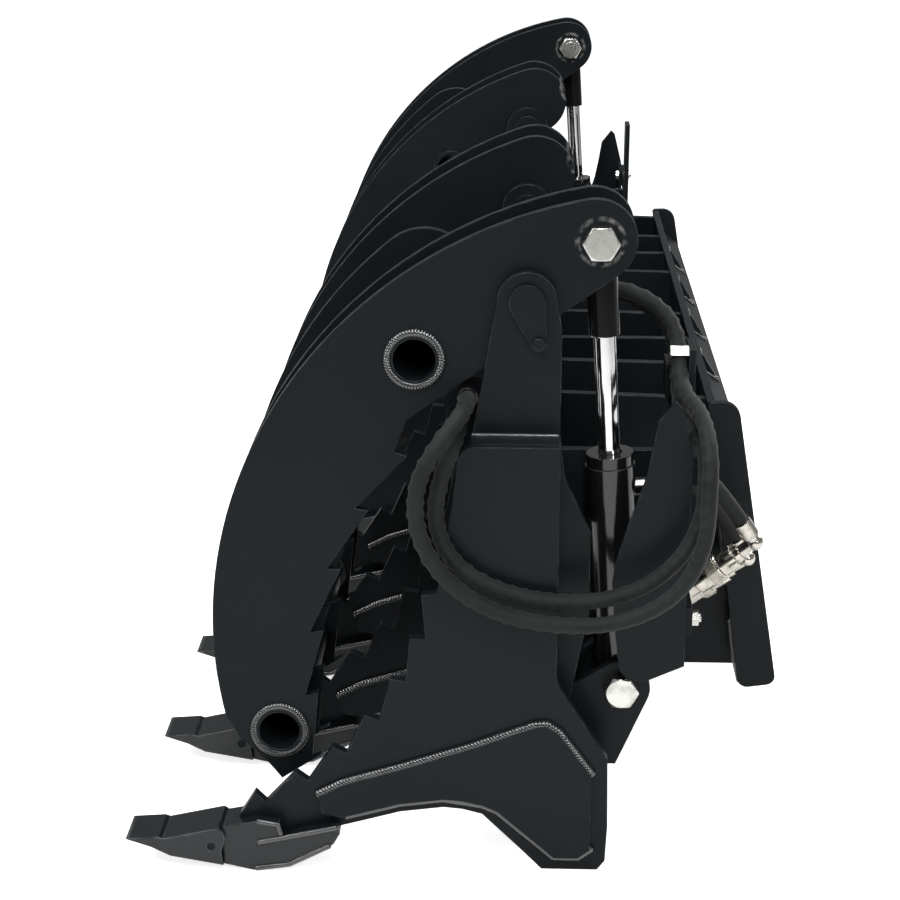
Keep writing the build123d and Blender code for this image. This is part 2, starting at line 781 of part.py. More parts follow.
with BuildPart() as piston_head:
    cylinder_bar(piston_top - piston, piston_top, barrel_bore - running_gap)
    cylinder_bar(piston_top - piston, piston_top, rod_radius + weld_gap, mode=Mode.SUBTRACT)
keep_pair("piston", piston_head)

pin_half = outer_pair / 2 - arm - eye_clear / 2
with BuildPart() as rod_pin:
    round_bar(*ear, bolt_radius, cylinder_x - pin_half, cylinder_x + pin_half)
keep_pair("rod_pin", rod_pin)

# Guards beside the cylinders, bolted through a flange to a bracket on the inner post
guard_back_x = guard_x - guard_flange
guard_bolt_x = guard_x - guard_flange / 2
guard_edge = [
    (221, 567), (203, 544), (198, 512), (191, 476), (184, 454), (173, 421), (161, 379), (157, 350),
    (161, 300), (166, 257), (170, 241), (178, 232), (196, 229),
]
with BuildPart() as guard:
    with BuildSketch(Plane.YZ.offset(guard_x)):
        with BuildLine():
            Polyline(*guard_edge, (bracket_y, 250), (bracket_y, 505), (228, 560), close=True)
        make_face()
    extrude(amount=guard_sheet)
    with BuildSketch(Plane.XZ.offset(-bracket_y)) as flange:
        with BuildLine():
            Polyline(
                (guard_x, guard_flange_edge_z[0]), (guard_back_x, guard_flange_z[0]),
                (guard_back_x, guard_flange_z[1]), (guard_x, guard_flange_edge_z[1]), close=True,
            )
        make_face()
        for z in guard_bolt_z:
            with Locations((guard_bolt_x, z)):
                Circle(guard_bolt_radius + weld_gap, mode=Mode.SUBTRACT)
    extrude(flange.sketch, amount=guard_sheet)
    mirror(about=Plane.YZ)
keep("cylinder_guards", guard)

tab_end_x = guard_x - tab_end_gap
with BuildPart() as guard_bracket:
    with BuildSketch(Plane.XZ.offset(-bracket_y - bracket)) as face:
        with BuildLine():
            Polyline(
                (bracket_inner_x, bracket_low_z), (bracket_inner_x, bracket_top_z),
                (bracket_outer_x, bracket_top_z), (bracket_outer_x, bracket_low_z), close=True,
            )
        make_face()
        for z in guard_bolt_z:
            with Locations(((bracket_inner_x + tab_end_x) / 2, z)):
                Rectangle(tab_end_x - bracket_inner_x, bracket_tab)
        for z in guard_bolt_z:
            with Locations((guard_bolt_x, z)):
                Circle(guard_bolt_radius + weld_gap, mode=Mode.SUBTRACT)
    extrude(face.sketch, amount=bracket)
    mirror(about=Plane.YZ)
keep("guard_brackets", guard_bracket)

with BuildPart() as guard_bolts:
    for z in guard_bolt_z:
        with BuildSketch(Plane.XZ.offset(guard_sheet - bracket_y)) as head:
            with Locations((guard_bolt_x, z)):
                RegularPolygon(guard_nut_across / 2, 6, major_radius=False)
        extrude(head.sketch, amount=guard_bolt_head)
        with BuildSketch(Plane.XZ.offset(guard_sheet - bracket_y)) as shank:
            with Locations((guard_bolt_x, z)):
                Circle(guard_bolt_radius)
        extrude(shank.sketch, amount=-bracket - guard_sheet - guard_bolt_tip)
        with BuildSketch(Plane.XZ.offset(-bracket_y - bracket)) as nut:
            with Locations((guard_bolt_x, z)):
                RegularPolygon(guard_nut_across / 2, 6, major_radius=False)
        extrude(nut.sketch, amount=-guard_nut)
    mirror(about=Plane.YZ)
keep("guard_bolts", guard_bolts)

# Hoses: each follows hand-picked points, with arcs as large as the runs allow
outer_loop = [
    (858, -8, 561), (904, -8, 561), (942, -34, 540), (950, -62, 492), (949, -62, 436), (948, -36, 384),
    (947, 16, 342), (946, 92, 324), (946, 166, 328), (944, 226, 360), (939, 255, 414), (932, 258, 472),
    (916, 259, 518), (868, 252, 550), (799, 231.5, 554.6), (753.4, 231.5, 615.4), (738, 196, 648),
    (730, 146, 660), (725, 92, 648), (724, 42, 606), (724, 42, 536),
]
inner_loop = [
    (858, -17, 536), (888, -17, 536), (916, -23, 521), (931, -35, 493), (930, -43, 444), (929, -28, 398),
    (928, 14, 364), (927, 72, 347), (927, 134, 345), (926, 190, 362), (922, 230, 396), (916, 252, 440),
    (908, 255, 474), (884, 256, 512), (846, 244, 528), (791, 231.5, 530.2), (734, 231.5, 606.2),
    (714, 192, 638), (704, 142, 648), (700, 88, 634), (700, 42, 596), (700, 42, 536),
]
upper_feed = [(732, 235, 520), (732, 235, 478), (720, 256, 438), (700, 294, 398), (688, 322, 354)]
lower_feed = [
    (708, 235, 520), (708, 235, 472), (698, 244, 428), (667, 268, 390), (636, 300, 350), (622, 324, 306),
]


def hose(name, points):
    """A plain tube along the points, printed with its length and bend radii."""
    corners = [Vector(*p) for p in points]
    runs = [b - a for a, b in zip(corners, corners[1:])]
    turns = [a.get_angle(b) for a, b in zip(runs, runs[1:])]
    shorter = [min(a.length, b.length) for a, b in zip(runs, runs[1:])]
    radii = [0.45 * run / tan(radians(turn) / 2) for run, turn in zip(shorter, turns)]
    with BuildPart() as tube:
        with BuildLine() as path:
            FilletPolyline(*corners, radius=radii)
        with BuildSketch(Plane(origin=path.line @ 0, z_dir=path.line % 0)):
            Circle(hose_radius)
        sweep()
    length = path.wire().length
    ratio = tube.part.volume / (pi * hose_radius ** 2 * length)
    print(name, "length", round(length), "radii", [round(r) for r in radii], "volume ratio", round(ratio, 4))
    keep(name, tube)


hose("outer_loop_hose", outer_loop)
hose("inner_loop_hose", inner_loop)
hose("upper_feed_hose", upper_feed)
hose("lower_feed_hose", lower_feed)


def heading(end, beyond):
    """The direction from one point of a route to the next."""
    return (Vector(*end) - Vector(*beyond)).normalized()


def crimp(end, beyond, length):
    """A crimp sleeve that starts at a hose's end and carries on away from it."""
    with BuildSketch(Plane(origin=end, z_dir=heading(end, beyond))) as section:
        Circle(crimp_radius)
    extrude(section.sketch, amount=length)


with BuildPart() as hose_crimps:
    for line in (outer_loop, inner_loop):
        crimp(line[0], line[1], line[0][0] - loop_block_x[1])
        crimp(line[-1], line[-2], line[-1][2] - rake_top - drop_block_height)
    for line in (upper_feed, lower_feed):
        crimp(line[0], line[1], feed_block_low_z - line[0][2])
keep("hose_crimps", hose_crimps)

with BuildPart() as hose_blocks:
    with BuildSketch(Plane.YZ.offset(loop_block_x[0])) as side:
        with BuildLine():
            Polyline(
                (-32, 518), (-22, rake_top), (40, rake_top), (40, 530), (8, 580), (-26, 580), (-34, 550),
                close=True,
            )
        make_face()
    extrude(side.sketch, amount=loop_block_x[1] - loop_block_x[0])
    with BuildSketch(Plane.YZ.offset(drop_block_x[0])) as side:
        with Locations((outer_loop[-1][1], rake_top + drop_block_height / 2)):
            Rectangle(drop_block_height + 2, drop_block_height)
    extrude(side.sketch, amount=drop_block_x[1] - drop_block_x[0])
    with BuildSketch(Plane.YZ.offset(feed_block_x[0])) as side:
        with Locations((upper_feed[0][1], feed_block_low_z + feed_block_height / 2)):
            Rectangle(30, feed_block_height)
    extrude(side.sketch, amount=feed_block_x[1] - feed_block_x[0])
keep("hose_blocks", hose_blocks)

# A two-hole clamp on the bracket holds both loops where they climb over it
clamp_rise = heading(outer_loop[15], outer_loop[14])
clamp_across = Vector(clamp_rise.Z, 0, -clamp_rise.X)
clamp_at = Vector(*outer_loop[14]) + clamp_rise * clamp_along - clamp_across * clamp_pitch / 2
with BuildPart() as hose_clamp:
    with BuildSketch(Plane(origin=clamp_at, x_dir=clamp_across, z_dir=clamp_rise)):
        Rectangle(clamp_pitch + 2 * clamp_side, 2 * (bracket_y - outer_loop[14][1]))
        with Locations((-clamp_pitch / 2, 0), (clamp_pitch / 2, 0)):
            Circle(hose_radius + weld_gap, mode=Mode.SUBTRACT)
    extrude(amount=clamp_width / 2, both=True)
keep("hose_clamp", hose_clamp)

# Quick couplers, each on an elbow that is crimped to the end of a feed hose
coupler_profile = [
    (0, 0), (11, 0), (11, 8), (15, 8), (15, 30), (17.5, 31), (17.5, 50), (16, 51), (16, 68), (13, 70),
    (13, 84), (0, 84),
]
with BuildPart() as couplers:
    for line, toward in ((upper_feed, (-0.12, -0.75, -0.65)), (lower_feed, (0, -0.83, -0.56))):
        crimp(line[-1], line[-2], end_crimp)
        way = heading(line[-1], line[-2])
        knee = Vector(*line[-1]) + way * (end_crimp + elbow_reach)
        with BuildSketch(Plane(origin=knee - way * elbow_reach, z_dir=way)) as neck:
            Circle(elbow_neck)
        extrude(neck.sketch, amount=elbow_reach)
        with Locations(knee):
            Sphere(elbow_ball)
        outlet = Plane(origin=knee, z_dir=toward)
        with BuildSketch(outlet) as branch:
            Circle(elbow_neck)
        extrude(branch.sketch, amount=elbow_branch)
        body = outlet.offset(elbow_branch)
        with BuildSketch(Plane(origin=body.origin, x_dir=body.x_dir, z_dir=-body.y_dir)) as section:
            with BuildLine():
                Polyline(*coupler_profile, close=True)
            make_face()
        revolve(section.sketch, axis=Axis(body.origin, body.z_dir))
keep("couplers", couplers)

print(len(pieces), "nodes")
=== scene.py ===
"""Looks of the root rake grapple: finishes, weld beads, hoses, coupler knurls, floor, light and camera.

Metres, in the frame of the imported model: +X is the tool's right-hand end, +Y points back to the loader and
+Z is up.
"""
import json
import logging
import math
from collections.abc import Callable
from dataclasses import dataclass, field
from enum import Enum

import bmesh
import bpy
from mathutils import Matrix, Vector

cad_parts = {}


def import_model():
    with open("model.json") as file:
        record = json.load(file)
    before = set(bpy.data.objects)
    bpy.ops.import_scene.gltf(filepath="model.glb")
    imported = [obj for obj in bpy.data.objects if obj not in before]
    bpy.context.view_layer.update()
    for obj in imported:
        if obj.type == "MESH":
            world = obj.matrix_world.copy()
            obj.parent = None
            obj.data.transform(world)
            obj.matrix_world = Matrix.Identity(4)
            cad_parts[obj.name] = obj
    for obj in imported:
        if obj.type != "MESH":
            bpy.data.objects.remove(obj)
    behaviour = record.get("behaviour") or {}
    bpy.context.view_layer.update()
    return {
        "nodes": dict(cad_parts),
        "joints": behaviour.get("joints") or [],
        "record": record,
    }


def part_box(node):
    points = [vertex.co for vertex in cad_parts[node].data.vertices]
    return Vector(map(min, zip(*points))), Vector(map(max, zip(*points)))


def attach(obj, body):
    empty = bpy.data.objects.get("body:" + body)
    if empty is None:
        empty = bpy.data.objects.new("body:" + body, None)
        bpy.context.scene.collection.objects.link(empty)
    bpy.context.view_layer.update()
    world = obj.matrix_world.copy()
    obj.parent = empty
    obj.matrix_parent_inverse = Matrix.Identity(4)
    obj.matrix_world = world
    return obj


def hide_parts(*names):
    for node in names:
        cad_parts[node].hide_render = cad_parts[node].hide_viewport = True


log = logging.getLogger("grapple")
Point = tuple[float, float, float]
Flat = tuple[float, float]
Colour = tuple[float, float, float]


class Slot(Enum):
    """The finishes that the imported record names."""

    CHARCOAL = "charcoal_paint"
    BLACK = "black_gloss_paint"
    ZINC = "zinc_plate"
    CHROME = "chrome_rod"
    SLEEVE = "hose_sleeve"
    NICKEL = "nickel_coupler"


class Tree:
    """A node tree with short calls for adding and joining nodes."""

    def __init__(self, tree: bpy.types.NodeTree) -> None:
        """Keep the tree that the nodes go into."""
        self.tree = tree

    def add(self, kind: str, inputs: dict | None = None, **settings: object) -> bpy.types.Node:
        """Add a node.

        Args:
            kind: The node's type name.
            inputs: Values or sockets for its inputs, by name or number.
            settings: Properties of the node.

        Returns:
            The new node.
        """
        node = self.tree.nodes.new(kind)
        for name, value in settings.items():
            setattr(node, name, value)
        for name, value in (inputs or {}).items():
            if isinstance(value, bpy.types.NodeSocket):
                self.tree.links.new(value, node.inputs[name])
            else:
                node.inputs[name].default_value = value
        return node

    def math(self, operation: str, first: object, second: object = 0.0) -> bpy.types.NodeSocket:
        """Add a Math node and give its result."""
        return self.add("ShaderNodeMath", {0: first, 1: second}, operation=operation).outputs[0]

    def mix(self, factor: object, first: object, second: object) -> bpy.types.NodeSocket:
        """Mix two colours and give the result."""
        node = self.add("ShaderNodeMix", {"Factor": factor}, data_type="RGBA")
        for socket, value in ((node.inputs[6], first), (node.inputs[7], second)):
            if isinstance(value, bpy.types.NodeSocket):
                self.tree.links.new(value, socket)
            else:
                socket.default_value = (*value, 1.0)
        return node.outputs[2]

    def ramp(
        self, value: object, low: float, high: float, start: float = 0.0, end: float = 1.0,
    ) -> bpy.types.NodeSocket:
        """Map a value from low and high to start and end, clamped."""
        inputs = {"Value": value, "From Min": low, "From Max": high, "To Min": start, "To Max": end}
        return self.add("ShaderNodeMapRange", inputs).outputs["Result"]


def new_group(
    name: str, inputs: dict[str, float], outputs: dict[str, str],
) -> tuple[Tree, dict, bpy.types.Node]:
    """Start a shader node group.

    Args:
        name: The group's name.
        inputs: Number inputs with their defaults.
        outputs: Outputs with their socket types.

    Returns:
        The group's tree, its input sockets by name, and its output node.
    """
    group = bpy.data.node_groups.new(name, "ShaderNodeTree")
    for label, default in inputs.items():
        socket = group.interface.new_socket(label, in_out="INPUT", socket_type="NodeSocketFloat")
        socket.default_value = default
    for label, kind in outputs.items():
        group.interface.new_socket(label, in_out="OUTPUT", socket_type=kind)
    tree = Tree(group)
    entry = tree.add("NodeGroupInput")
    return tree, entry.outputs, tree.add("NodeGroupOutput")


class Effects:
    """Node groups that several finishes share."""

    speck_scale = 90.0
    bevel_samples = 4

    def __init__(self) -> None:
        """Build each group once."""
        self.grain = self.make_grain()
        self.edge = self.make_edge()

    def make_grain(self) -> bpy.types.NodeTree:
        """Broad cloudy patches and the fine orange peel of sprayed paint."""
        outputs = {"Cloud": "NodeSocketFloat", "Height": "NodeSocketFloat", "Speck": "NodeSocketFloat"}
        tree, entry, out = new_group("coat_grain", {"Cloud Scale": 5.0, "Peel Scale": 260.0}, outputs)
        place = tree.add("ShaderNodeTexCoord").outputs["Object"]
        cloud = tree.add(
            "ShaderNodeTexNoise", {"Vector": place, "Scale": entry["Cloud Scale"], "Detail": 4.0},
        )
        peel = tree.add("ShaderNodeTexNoise", {"Vector": place, "Scale": entry["Peel Scale"], "Detail": 2.0})
        speck = tree.add(
            "ShaderNodeTexNoise",
            {"Vector": place, "Scale": self.speck_scale, "Detail": 6.0, "Roughness": 0.8},
        )
        tree.tree.links.new(tree.ramp(cloud.outputs[0], 0.32, 0.7), out.inputs["Cloud"])
        tree.tree.links.new(peel.outputs[0], out.inputs["Height"])
        tree.tree.links.new(tree.ramp(speck.outputs[0], 0.68, 0.76), out.inputs["Speck"])
        return tree.tree

    def make_edge(self) -> bpy.types.NodeTree:
        """Rounded edges for the light to catch, with a patchy mask where a highlight is painted on them."""
        outputs = {"Mask": "NodeSocketFloat", "Normal": "NodeSocketVector"}
        tree, entry, out = new_group("edge_bevel_with_painted_highlight", {"Radius": 0.002, "Break Up": 60.0}, outputs)
        bevel = tree.add("ShaderNodeBevel", {"Radius": entry["Radius"]}, samples=self.bevel_samples)
        flat = tree.add("ShaderNodeNewGeometry").outputs["True Normal"]
        along = tree.add("ShaderNodeVectorMath", {0: bevel.outputs[0], 1: flat}, operation="DOT_PRODUCT")
        turned = tree.ramp(tree.math("SUBTRACT", 1.0, along.outputs["Value"]), 0.01, 0.12)
        place = tree.add("ShaderNodeTexCoord").outputs["Object"]
        patch = tree.add("ShaderNodeTexNoise", {"Vector": place, "Scale": entry["Break Up"], "Detail": 5.0})
        # Painted highlight mask: where the bevel turns the normal, broken up in patches by noise, the edges
        # get a lighter colour.
        edge_highlight_mask = tree.math("MULTIPLY", turned, tree.ramp(patch.outputs[0], 0.42, 0.6))
        tree.tree.links.new(edge_highlight_mask, out.inputs["Mask"])
        tree.tree.links.new(bevel.outputs[0], out.inputs["Normal"])
        return tree.tree

    def use(self, tree: Tree, group: bpy.types.NodeTree, **values: float) -> bpy.types.Node:
        """Place a group in a material with its own values, named with underscores for spaces."""
        node = tree.add("ShaderNodeGroup", node_tree=group)
        for name, value in values.items():
            node.inputs[name.replace("_", " ")].default_value = value
        return node


def start_material(name: str, slot: Slot) -> tuple[bpy.types.Material, Tree, bpy.types.Node]:
    """Make a material and give it, its tree and its Principled shader."""
    material = bpy.data.materials.new(f"{name}_{slot.value}")
    material.use_nodes = True
    return material, Tree(material.node_tree), material.node_tree.nodes["Principled BSDF"]


BUMP_DEPTH = 0.001
COAT_ROUGHNESS = 0.12


@dataclass(frozen=True)
class PaintFinish:
    """Sprayed enamel: cloudy tone, orange peel, thin painted highlights on the edges and specks of dust."""

    name: str
    slot: Slot
    colour: Colour
    patch_colour: Colour
    # A lighter colour painted on the edges as a highlight.
    edge_highlight_colour: Colour = (0.07, 0.078, 0.086)
    dust_colour: Colour = (0.2, 0.2, 0.19)
    roughness: Flat = (0.3, 0.42)
    specular: float = 0.13
    coat: float = 0.0
    peel: float = 0.06
    peel_scale: float = 260.0
    edge_radius: float = 0.0018
    speck_share: float = 0.25
    ring_at: Flat | None = None
    ring_radius: float = 0.0255
    ring_fade: float = 0.0035
    smear_scale: float = 120.0

    def build(self, effects: Effects) -> bpy.types.Material:
        """Make the material.

        Args:
            effects: The shared node groups.

        Returns:
            The finished material.
        """
        material, tree, shader = start_material(self.name, self.slot)
        grain = effects.use(tree, effects.grain, Peel_Scale=self.peel_scale)
        edge = effects.use(tree, effects.edge, Radius=self.edge_radius)
        colour = tree.mix(grain.outputs["Cloud"], self.colour, self.patch_colour)
        # Painted highlight: the edges are mixed toward a lighter colour that stands in for light caught on
        # them.
        colour = tree.mix(edge.outputs["Mask"], colour, self.edge_highlight_colour)
        dust = tree.math("MULTIPLY", grain.outputs["Speck"], self.speck_share)
        if self.ring_at:
            dust = tree.math("MAXIMUM", dust, self.smeared_ring(tree))
        colour = tree.mix(dust, colour, self.dust_colour)
        rough = tree.ramp(grain.outputs["Cloud"], 0.0, 1.0, *self.roughness)
        bump = tree.add(
            "ShaderNodeBump",
            {
                "Strength": self.peel, "Distance": BUMP_DEPTH, "Height": grain.outputs["Height"],
                "Normal": edge.outputs["Normal"],
            },
        )
        tree.tree.links.new(colour, shader.inputs["Base Color"])
        tree.tree.links.new(rough, shader.inputs["Roughness"])
        tree.tree.links.new(bump.outputs[0], shader.inputs["Normal"])
        shader.inputs["Specular IOR Level"].default_value = self.specular
        shader.inputs["Coat Weight"].default_value = self.coat
        shader.inputs["Coat Roughness"].default_value = COAT_ROUGHNESS
        return material

    def smeared_ring(self, tree: Tree) -> bpy.types.NodeSocket:
        """The dusty ring that a wrench leaves around a bolt head, as a mask."""
        place = tree.add("ShaderNodeTexCoord").outputs["Object"]
        away = tree.add("ShaderNodeSeparateXYZ", {"Vector": place})
        across = tree.math("SUBTRACT", away.outputs["Y"], self.ring_at[0])
        upward = tree.math("SUBTRACT", away.outputs["Z"], self.ring_at[1])
        squared = tree.math("ADD", tree.math("POWER", across, 2.0), tree.math("POWER", upward, 2.0))
        radius = tree.math("SQRT", squared)
        off = tree.math("ABSOLUTE", tree.math("SUBTRACT", radius, self.ring_radius))
        band = tree.ramp(off, 0.0, self.ring_fade, 1.0, 0.0)
        smear = tree.add("ShaderNodeTexNoise", {"Vector": place, "Scale": self.smear_scale, "Detail": 5.0})
        return tree.math("MULTIPLY", band, tree.ramp(smear.outputs[0], 0.42, 0.62, 0.0, 0.8))


@dataclass(frozen=True)
class MetalFinish:
    """Plated or polished metal with fine brushing, stains and rounded edges."""

    name: str
    slot: Slot
    colour: Colour
    stain_colour: Colour
    roughness: Flat = (0.2, 0.38)
    stain_scale: float = 45.0
    brush: Point = (600.0, 600.0, 30.0)
    brush_depth: float = 0.04
    edge_radius: float = 0.0008
    sleeve_above: float | None = None
    sleeve_colour: Colour = (0.006, 0.006, 0.007)
    sleeve_specular: float = 0.12

    def build(self, effects: Effects) -> bpy.types.Material:
        """Make the material.

        Args:
            effects: The shared node groups.

        Returns:
            The finished material.
        """
        material, tree, shader = start_material(self.name, self.slot)
        place = tree.add("ShaderNodeTexCoord").outputs["Object"]
        edge = effects.use(tree, effects.edge, Radius=self.edge_radius)
        stain = tree.add("ShaderNodeTexNoise", {"Vector": place, "Scale": self.stain_scale, "Detail": 6.0})
        stained = tree.ramp(stain.outputs[0], 0.45, 0.72)
        lines = tree.add("ShaderNodeMapping", {"Vector": place, "Scale": self.brush})
        brushed = tree.add("ShaderNodeTexNoise", {"Vector": lines.outputs[0], "Scale": 1.0, "Detail": 2.0})
        colour = tree.mix(stained, self.colour, self.stain_colour)
        shader.inputs["Metallic"].default_value = 1.0
        if self.sleeve_above is not None:
            height = tree.add("ShaderNodeSeparateXYZ", {"Vector": place}).outputs["Z"]
            covered = tree.math("GREATER_THAN", height, self.sleeve_above)
            colour = tree.mix(covered, colour, self.sleeve_colour)
            bare = tree.math("SUBTRACT", 1.0, covered)
            specular = tree.ramp(covered, 0.0, 1.0, 0.5, self.sleeve_specular)
            tree.tree.links.new(bare, shader.inputs["Metallic"])
            tree.tree.links.new(specular, shader.inputs["Specular IOR Level"])
        rough = tree.ramp(stained, 0.0, 1.0, *self.roughness)
        bump = tree.add(
            "ShaderNodeBump",
            {
                "Strength": self.brush_depth, "Distance": BUMP_DEPTH, "Height": brushed.outputs[0],
                "Normal": edge.outputs["Normal"],
            },
        )
        tree.tree.links.new(colour, shader.inputs["Base Color"])
        tree.tree.links.new(rough, shader.inputs["Roughness"])
        tree.tree.links.new(bump.outputs[0], shader.inputs["Normal"])
        return material


@dataclass(frozen=True)
class SleeveFinish:
    """A woven nylon sleeve over hose, with its weave along the piece's own map."""

    name: str
    colour: Colour = (0.006, 0.0075, 0.0075)
    worn_colour: Colour = (0.015, 0.018, 0.018)
    threads: float = 900.0
    thread_share: float = 0.32
    weave_contrast: float = 0.35
    weave_strength: float = 0.35
    weave_depth: float = 0.0006
    rub_scale: float = 28.0
    specular: float = 0.2
    sheen: float = 0.06

    def build(self) -> bpy.types.Material:
        """Make the material.

        Returns:
            The finished material.
        """
        material, tree, shader = start_material(self.name, Slot.SLEEVE)
        spot = tree.add("ShaderNodeTexCoord").outputs["UV"]
        waves = []
        for direction in ("X", "Y"):
            counted = tree.add(
                "ShaderNodeMapping", {"Vector": spot, "Scale": (self.threads, self.threads, 1.0)},
            )
            wave = tree.add(
                "ShaderNodeTexWave", {"Vector": counted.outputs[0], "Scale": self.thread_share},
                bands_direction=direction,
            )
            waves.append(wave.outputs["Fac"])
        weave = tree.math("MULTIPLY", waves[0], waves[1])
        place = tree.add("ShaderNodeTexCoord").outputs["Object"]
        rub = tree.add("ShaderNodeTexNoise", {"Vector": place, "Scale": self.rub_scale, "Detail": 6.0})
        fade = tree.ramp(rub.outputs[0], 0.4, 0.75)
        colour = tree.mix(fade, self.colour, self.worn_colour)
        colour = tree.mix(tree.math("MULTIPLY", weave, self.weave_contrast), colour, self.worn_colour)
        bump = tree.add(
            "ShaderNodeBump",
            {"Strength": self.weave_strength, "Distance": self.weave_depth, "Height": weave},
        )
        tree.tree.links.new(colour, shader.inputs["Base Color"])
        tree.tree.links.new(tree.ramp(fade, 0.0, 1.0, 0.55, 0.75), shader.inputs["Roughness"])
        tree.tree.links.new(bump.outputs[0], shader.inputs["Normal"])
        shader.inputs["Specular IOR Level"].default_value = self.specular
        shader.inputs["Sheen Weight"].default_value = self.sheen
        return material


class Finishes:
    """Every finish of the grapple."""

    rod_sleeve_end = 0.1135

    def __init__(self, ear: Flat) -> None:
        """Build the materials.

        Args:
            ear: The ear bolt's place in the side view.
        """
        effects = Effects()
        charcoal = {
            "slot": Slot.CHARCOAL, "colour": (0.0058, 0.0078, 0.0094),
            "patch_colour": (0.0078, 0.0102, 0.0118),
        }
        self.paint = PaintFinish("plate", **charcoal).build(effects)
        self.ear_paint = PaintFinish("jaw", ring_at=ear, **charcoal).build(effects)
        self.tooth_paint = PaintFinish(
            "tooth", peel=0.3, peel_scale=70.0, roughness=(0.16, 0.26), specular=0.45, edge_radius=0.004,
            **charcoal,
        ).build(effects)
        self.weld_paint = PaintFinish(
            "weld", roughness=(0.05, 0.1), coat=1.0, specular=0.9, edge_radius=0.0004, peel=0.5,
            # The weld's painted edge highlight is kept dim.
            peel_scale=110.0, edge_highlight_colour=(0.02, 0.022, 0.025), **charcoal,
        ).build(effects)
        self.black = PaintFinish(
            "cylinder", Slot.BLACK, (0.005, 0.005, 0.006), (0.007, 0.007, 0.008), roughness=(0.1, 0.16),
            coat=0.5, specular=0.5, peel=0.015, speck_share=0.12,
        ).build(effects)
        self.zinc = MetalFinish("bolt", Slot.ZINC, (0.66, 0.66, 0.62), (0.42, 0.42, 0.38)).build(effects)
        self.chrome = MetalFinish(
            "rod", Slot.CHROME, (0.78, 0.78, 0.79), (0.7, 0.7, 0.71), roughness=(0.08, 0.14),
            sleeve_above=ear[1] - self.rod_sleeve_end,
        ).build(effects)
        self.nickel = MetalFinish(
            "coupler", Slot.NICKEL, (0.62, 0.59, 0.53), (0.36, 0.34, 0.3), roughness=(0.16, 0.34),
            stain_scale=80.0,
        ).build(effects)
        self.sleeve = SleeveFinish("woven").build()

    def for_node(self, node: str, slot: str) -> bpy.types.Material:
        """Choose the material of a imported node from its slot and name."""
        if node in ("teeth", "tooth_adapters"):
            return self.tooth_paint
        if node == "flag_bolts":
            return self.paint
        if node == "hose_crimps":
            return self.black
        if node.startswith(("outer_arms", "inner_arms")):
            return self.ear_paint
        by_slot = {
            Slot.CHARCOAL: self.paint, Slot.BLACK: self.black, Slot.ZINC: self.zinc,
            Slot.CHROME: self.chrome, Slot.SLEEVE: self.sleeve, Slot.NICKEL: self.nickel,
        }
        return by_slot[Slot(slot)]


def dress(piece: bpy.types.Object, material: bpy.types.Material, body: str) -> None:
    """Give a new piece its material, body and slot, and report it."""
    piece.data.materials.clear()
    piece.data.materials.append(material)
    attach(piece, body)
    log.info("%s rides on %s", piece.name, body)


def select_only(piece: bpy.types.Object) -> None:
    """Deselect everything and make one piece active and selected."""
    bpy.ops.object.select_all(action="DESELECT")
    piece.select_set(True)
    bpy.context.view_layer.objects.active = piece


def ring_frames(points: list[Vector]) -> list[tuple[Vector, Vector]]:
    """Carry two side directions along a line without twist.

    Args:
        points: The line.

    Returns:
        For each point, two directions across the line.
    """
    frames = []
    side = None
    for i, point in enumerate(points):
        ahead = (points[min(i + 1, len(points) - 1)] - points[max(i - 1, 0)]).normalized()
        if side is None:
            side = ahead.cross(Vector((0.0, 0.0, 1.0)))
            if side.length < 0.1:
                side = ahead.cross(Vector((1.0, 0.0, 0.0)))
        side = (side - ahead * side.dot(ahead)).normalized()
        frames.append((side, ahead.cross(side)))
    return frames


@dataclass
class Hose:
    """A hydraulic hose in a puckered woven sleeve, along a smooth line through chosen points."""

    name: str
    route: list[Point]
    length: float
    far_end: str
    diameter: float = 0.019
    sides: int = 20
    step: float = 0.0032
    pucker: float = 0.0016
    pucker_pitch: float = 0.0165
    line_steps: int = 24

    def line(self) -> list[Vector]:
        """Read evenly spaced points off a smooth spline through the route.

        Returns:
            The hose's centreline.
        """
        curve = bpy.data.curves.new(f"{self.name}_line", "CURVE")
        curve.dimensions = "3D"
        spline = curve.splines.new("NURBS")
        spline.points.add(len(self.route) - 1)
        for point, place in zip(spline.points, self.route):
            point.co = (*place, 1.0)
        spline.order_u = 3
        spline.use_endpoint_u = True
        spline.resolution_u = self.line_steps
        guide = bpy.data.objects.new(f"{self.name}_line", curve)
        bpy.context.scene.collection.objects.link(guide)
        bpy.context.view_layer.update()
        mesh = bpy.data.meshes.new_from_object(guide)
        raw = [vertex.co.copy() for vertex in mesh.vertices]
        bpy.data.objects.remove(guide)
        bpy.data.curves.remove(curve)
        bpy.data.meshes.remove(mesh)
        return even_spacing(raw, self.step)

    def radius_at(self, along: float, angle: float) -> float:
        """The sleeve's radius, gathered in small puckers."""
        wave = math.sin(2 * math.pi * along / self.pucker_pitch + 1.7 * math.sin(along * 41.0))
        bunch = max(0.0, wave) * (0.55 + 0.45 * math.cos(angle * 2.0 + along * 9.0))
        return self.diameter / 2 - self.pucker * 0.5 + self.pucker * bunch

    def build(self, material: bpy.types.Material, with_pieces: tuple = ()) -> bpy.types.Object:
        """Args:
            material: The sleeve's finish.
            with_pieces: Pieces on the hose; not used.

        Returns:
            The hose.
        """
        centre = self.line()
        tube = wrap_tube(f"{self.name}_tube", centre, self.radius_at, self.sides)
        dress(tube, material, "frame")
        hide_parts(self.name)
        return tube


